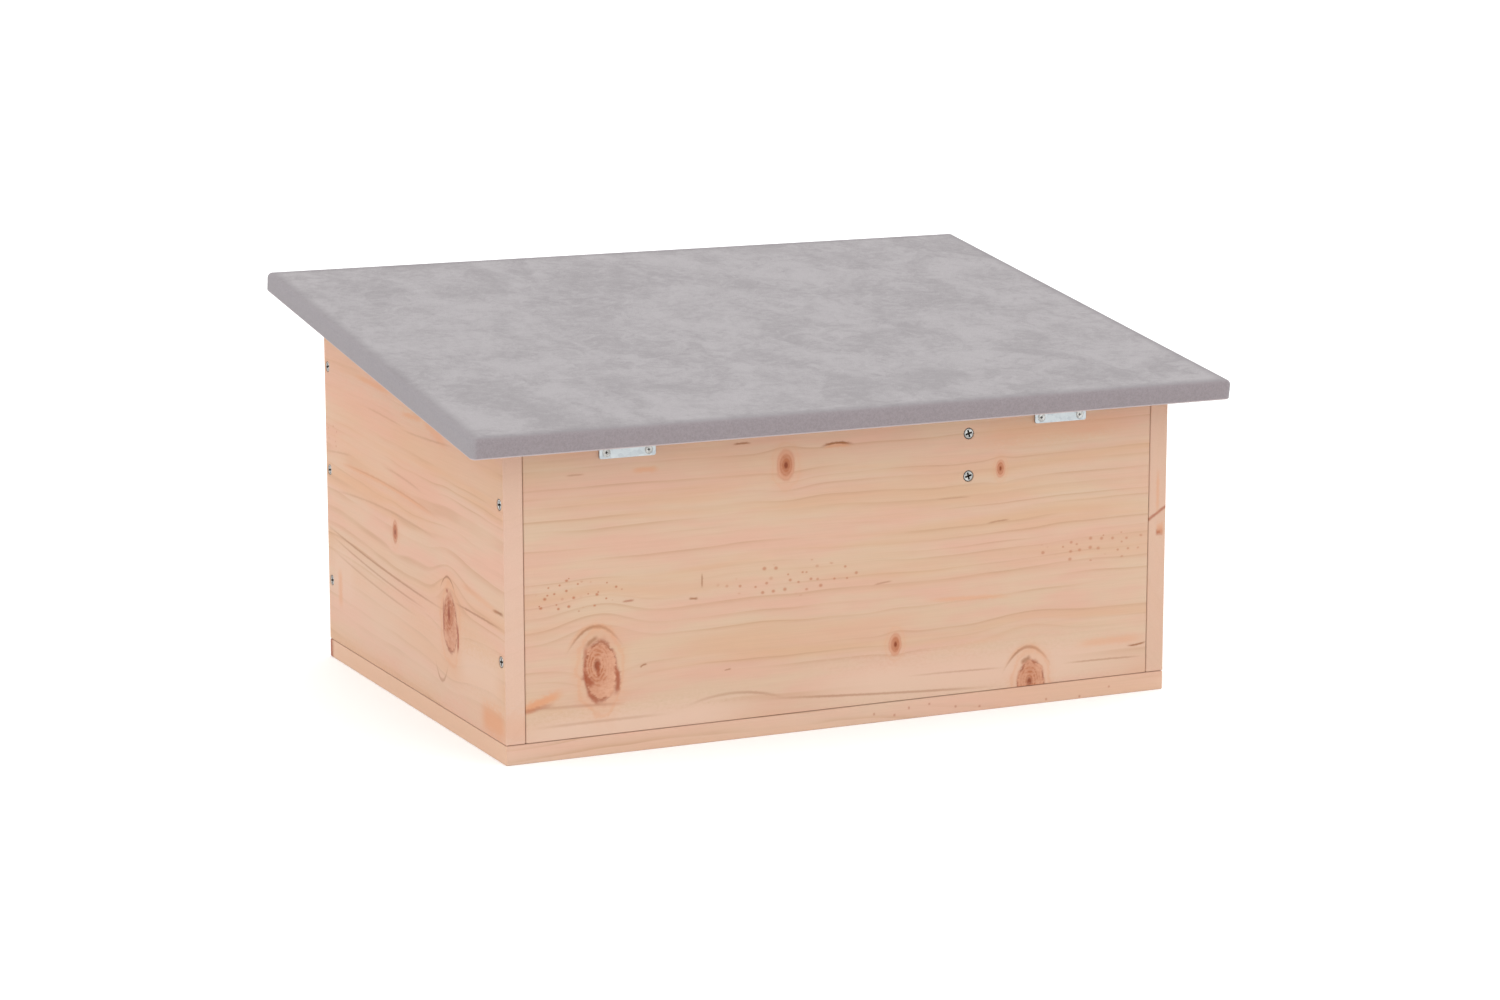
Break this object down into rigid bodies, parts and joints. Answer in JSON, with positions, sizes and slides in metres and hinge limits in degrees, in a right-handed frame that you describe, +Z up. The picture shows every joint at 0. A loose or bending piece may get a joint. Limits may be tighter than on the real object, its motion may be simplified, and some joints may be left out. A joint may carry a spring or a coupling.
{
  "type": "hedgehog house",
  "caption": "Wooden box for hedgehogs with an arched entrance, a corridor, a nest chamber and a sloping felt-covered lid hinged at the low back.",
  "frame": {"origin": "on the ground, below the middle of the roof and of the base board", "axes": "+X along the house, to the right as seen from the front; +Y to the low, hinged back; +Z up"},
  "size_m": [0.45, 0.33, 0.2254],
  "materials": {
    "pine": "planed, unpainted, with grain and knots",
    "roof_pine": "sawn, unpainted",
    "mineral_felt": "grey mineral granules, matt",
    "zinc": "zinc plated, pressed sheet",
    "screw_steel": "zinc plated, bright"
  },
  "bodies": {
    "house": {"back_panel": "pine", "base_back_screw_1": "screw_steel", "base_back_screw_2": "screw_steel", "base_back_screw_3": "screw_steel", "base_board": "pine", "base_divider_screw": "screw_steel", "base_front_screw_1": "screw_steel", "base_front_screw_2": "screw_steel", "base_front_screw_3": "screw_steel", "base_left_screw_1": "screw_steel", "base_left_screw_2": "screw_steel", "base_right_screw_1": "screw_steel", "base_right_screw_2": "screw_steel", "divider_back_screw_1": "screw_steel", "divider_back_screw_2": "screw_steel", "divider_front_screw_1": "screw_steel", "divider_front_screw_2": "screw_steel", "divider_panel": "pine", "front_panel": "pine", "hinge_left_pin": "zinc", "hinge_left_wall_leaf": "zinc", "hinge_left_wall_screw_1": "screw_steel", "hinge_left_wall_screw_2": "screw_steel", "hinge_right_pin": "zinc", "hinge_right_wall_leaf": "zinc", "hinge_right_wall_screw_1": "screw_steel", "hinge_right_wall_screw_2": "screw_steel", "side_left_back_screw_1": "screw_steel", "side_left_back_screw_2": "screw_steel", "side_left_front_screw_1": "screw_steel", "side_left_front_screw_2": "screw_steel", "side_left_front_screw_3": "screw_steel", "side_panel_left": "pine", "side_panel_right": "pine", "side_right_back_screw_1": "screw_steel", "side_right_back_screw_2": "screw_steel", "side_right_front_screw_1": "screw_steel", "side_right_front_screw_2": "screw_steel", "side_right_front_screw_3": "screw_steel"},
    "lid": {"hinge_left_roof_leaf": "zinc", "hinge_left_roof_screw_1": "screw_steel", "hinge_left_roof_screw_2": "screw_steel", "hinge_right_roof_leaf": "zinc", "hinge_right_roof_screw_1": "screw_steel", "hinge_right_roof_screw_2": "screw_steel", "roof_board": "roof_pine", "roof_felt": "mineral_felt"}
  },
  "joints": [
    {"name": "lid_hinge", "type": "hinge", "parent": "house", "child": "lid", "pos_m": [0, 0.1424, 0.16903], "axis": [-1, 0, 0], "range_deg": [0, 92]}
  ]
}
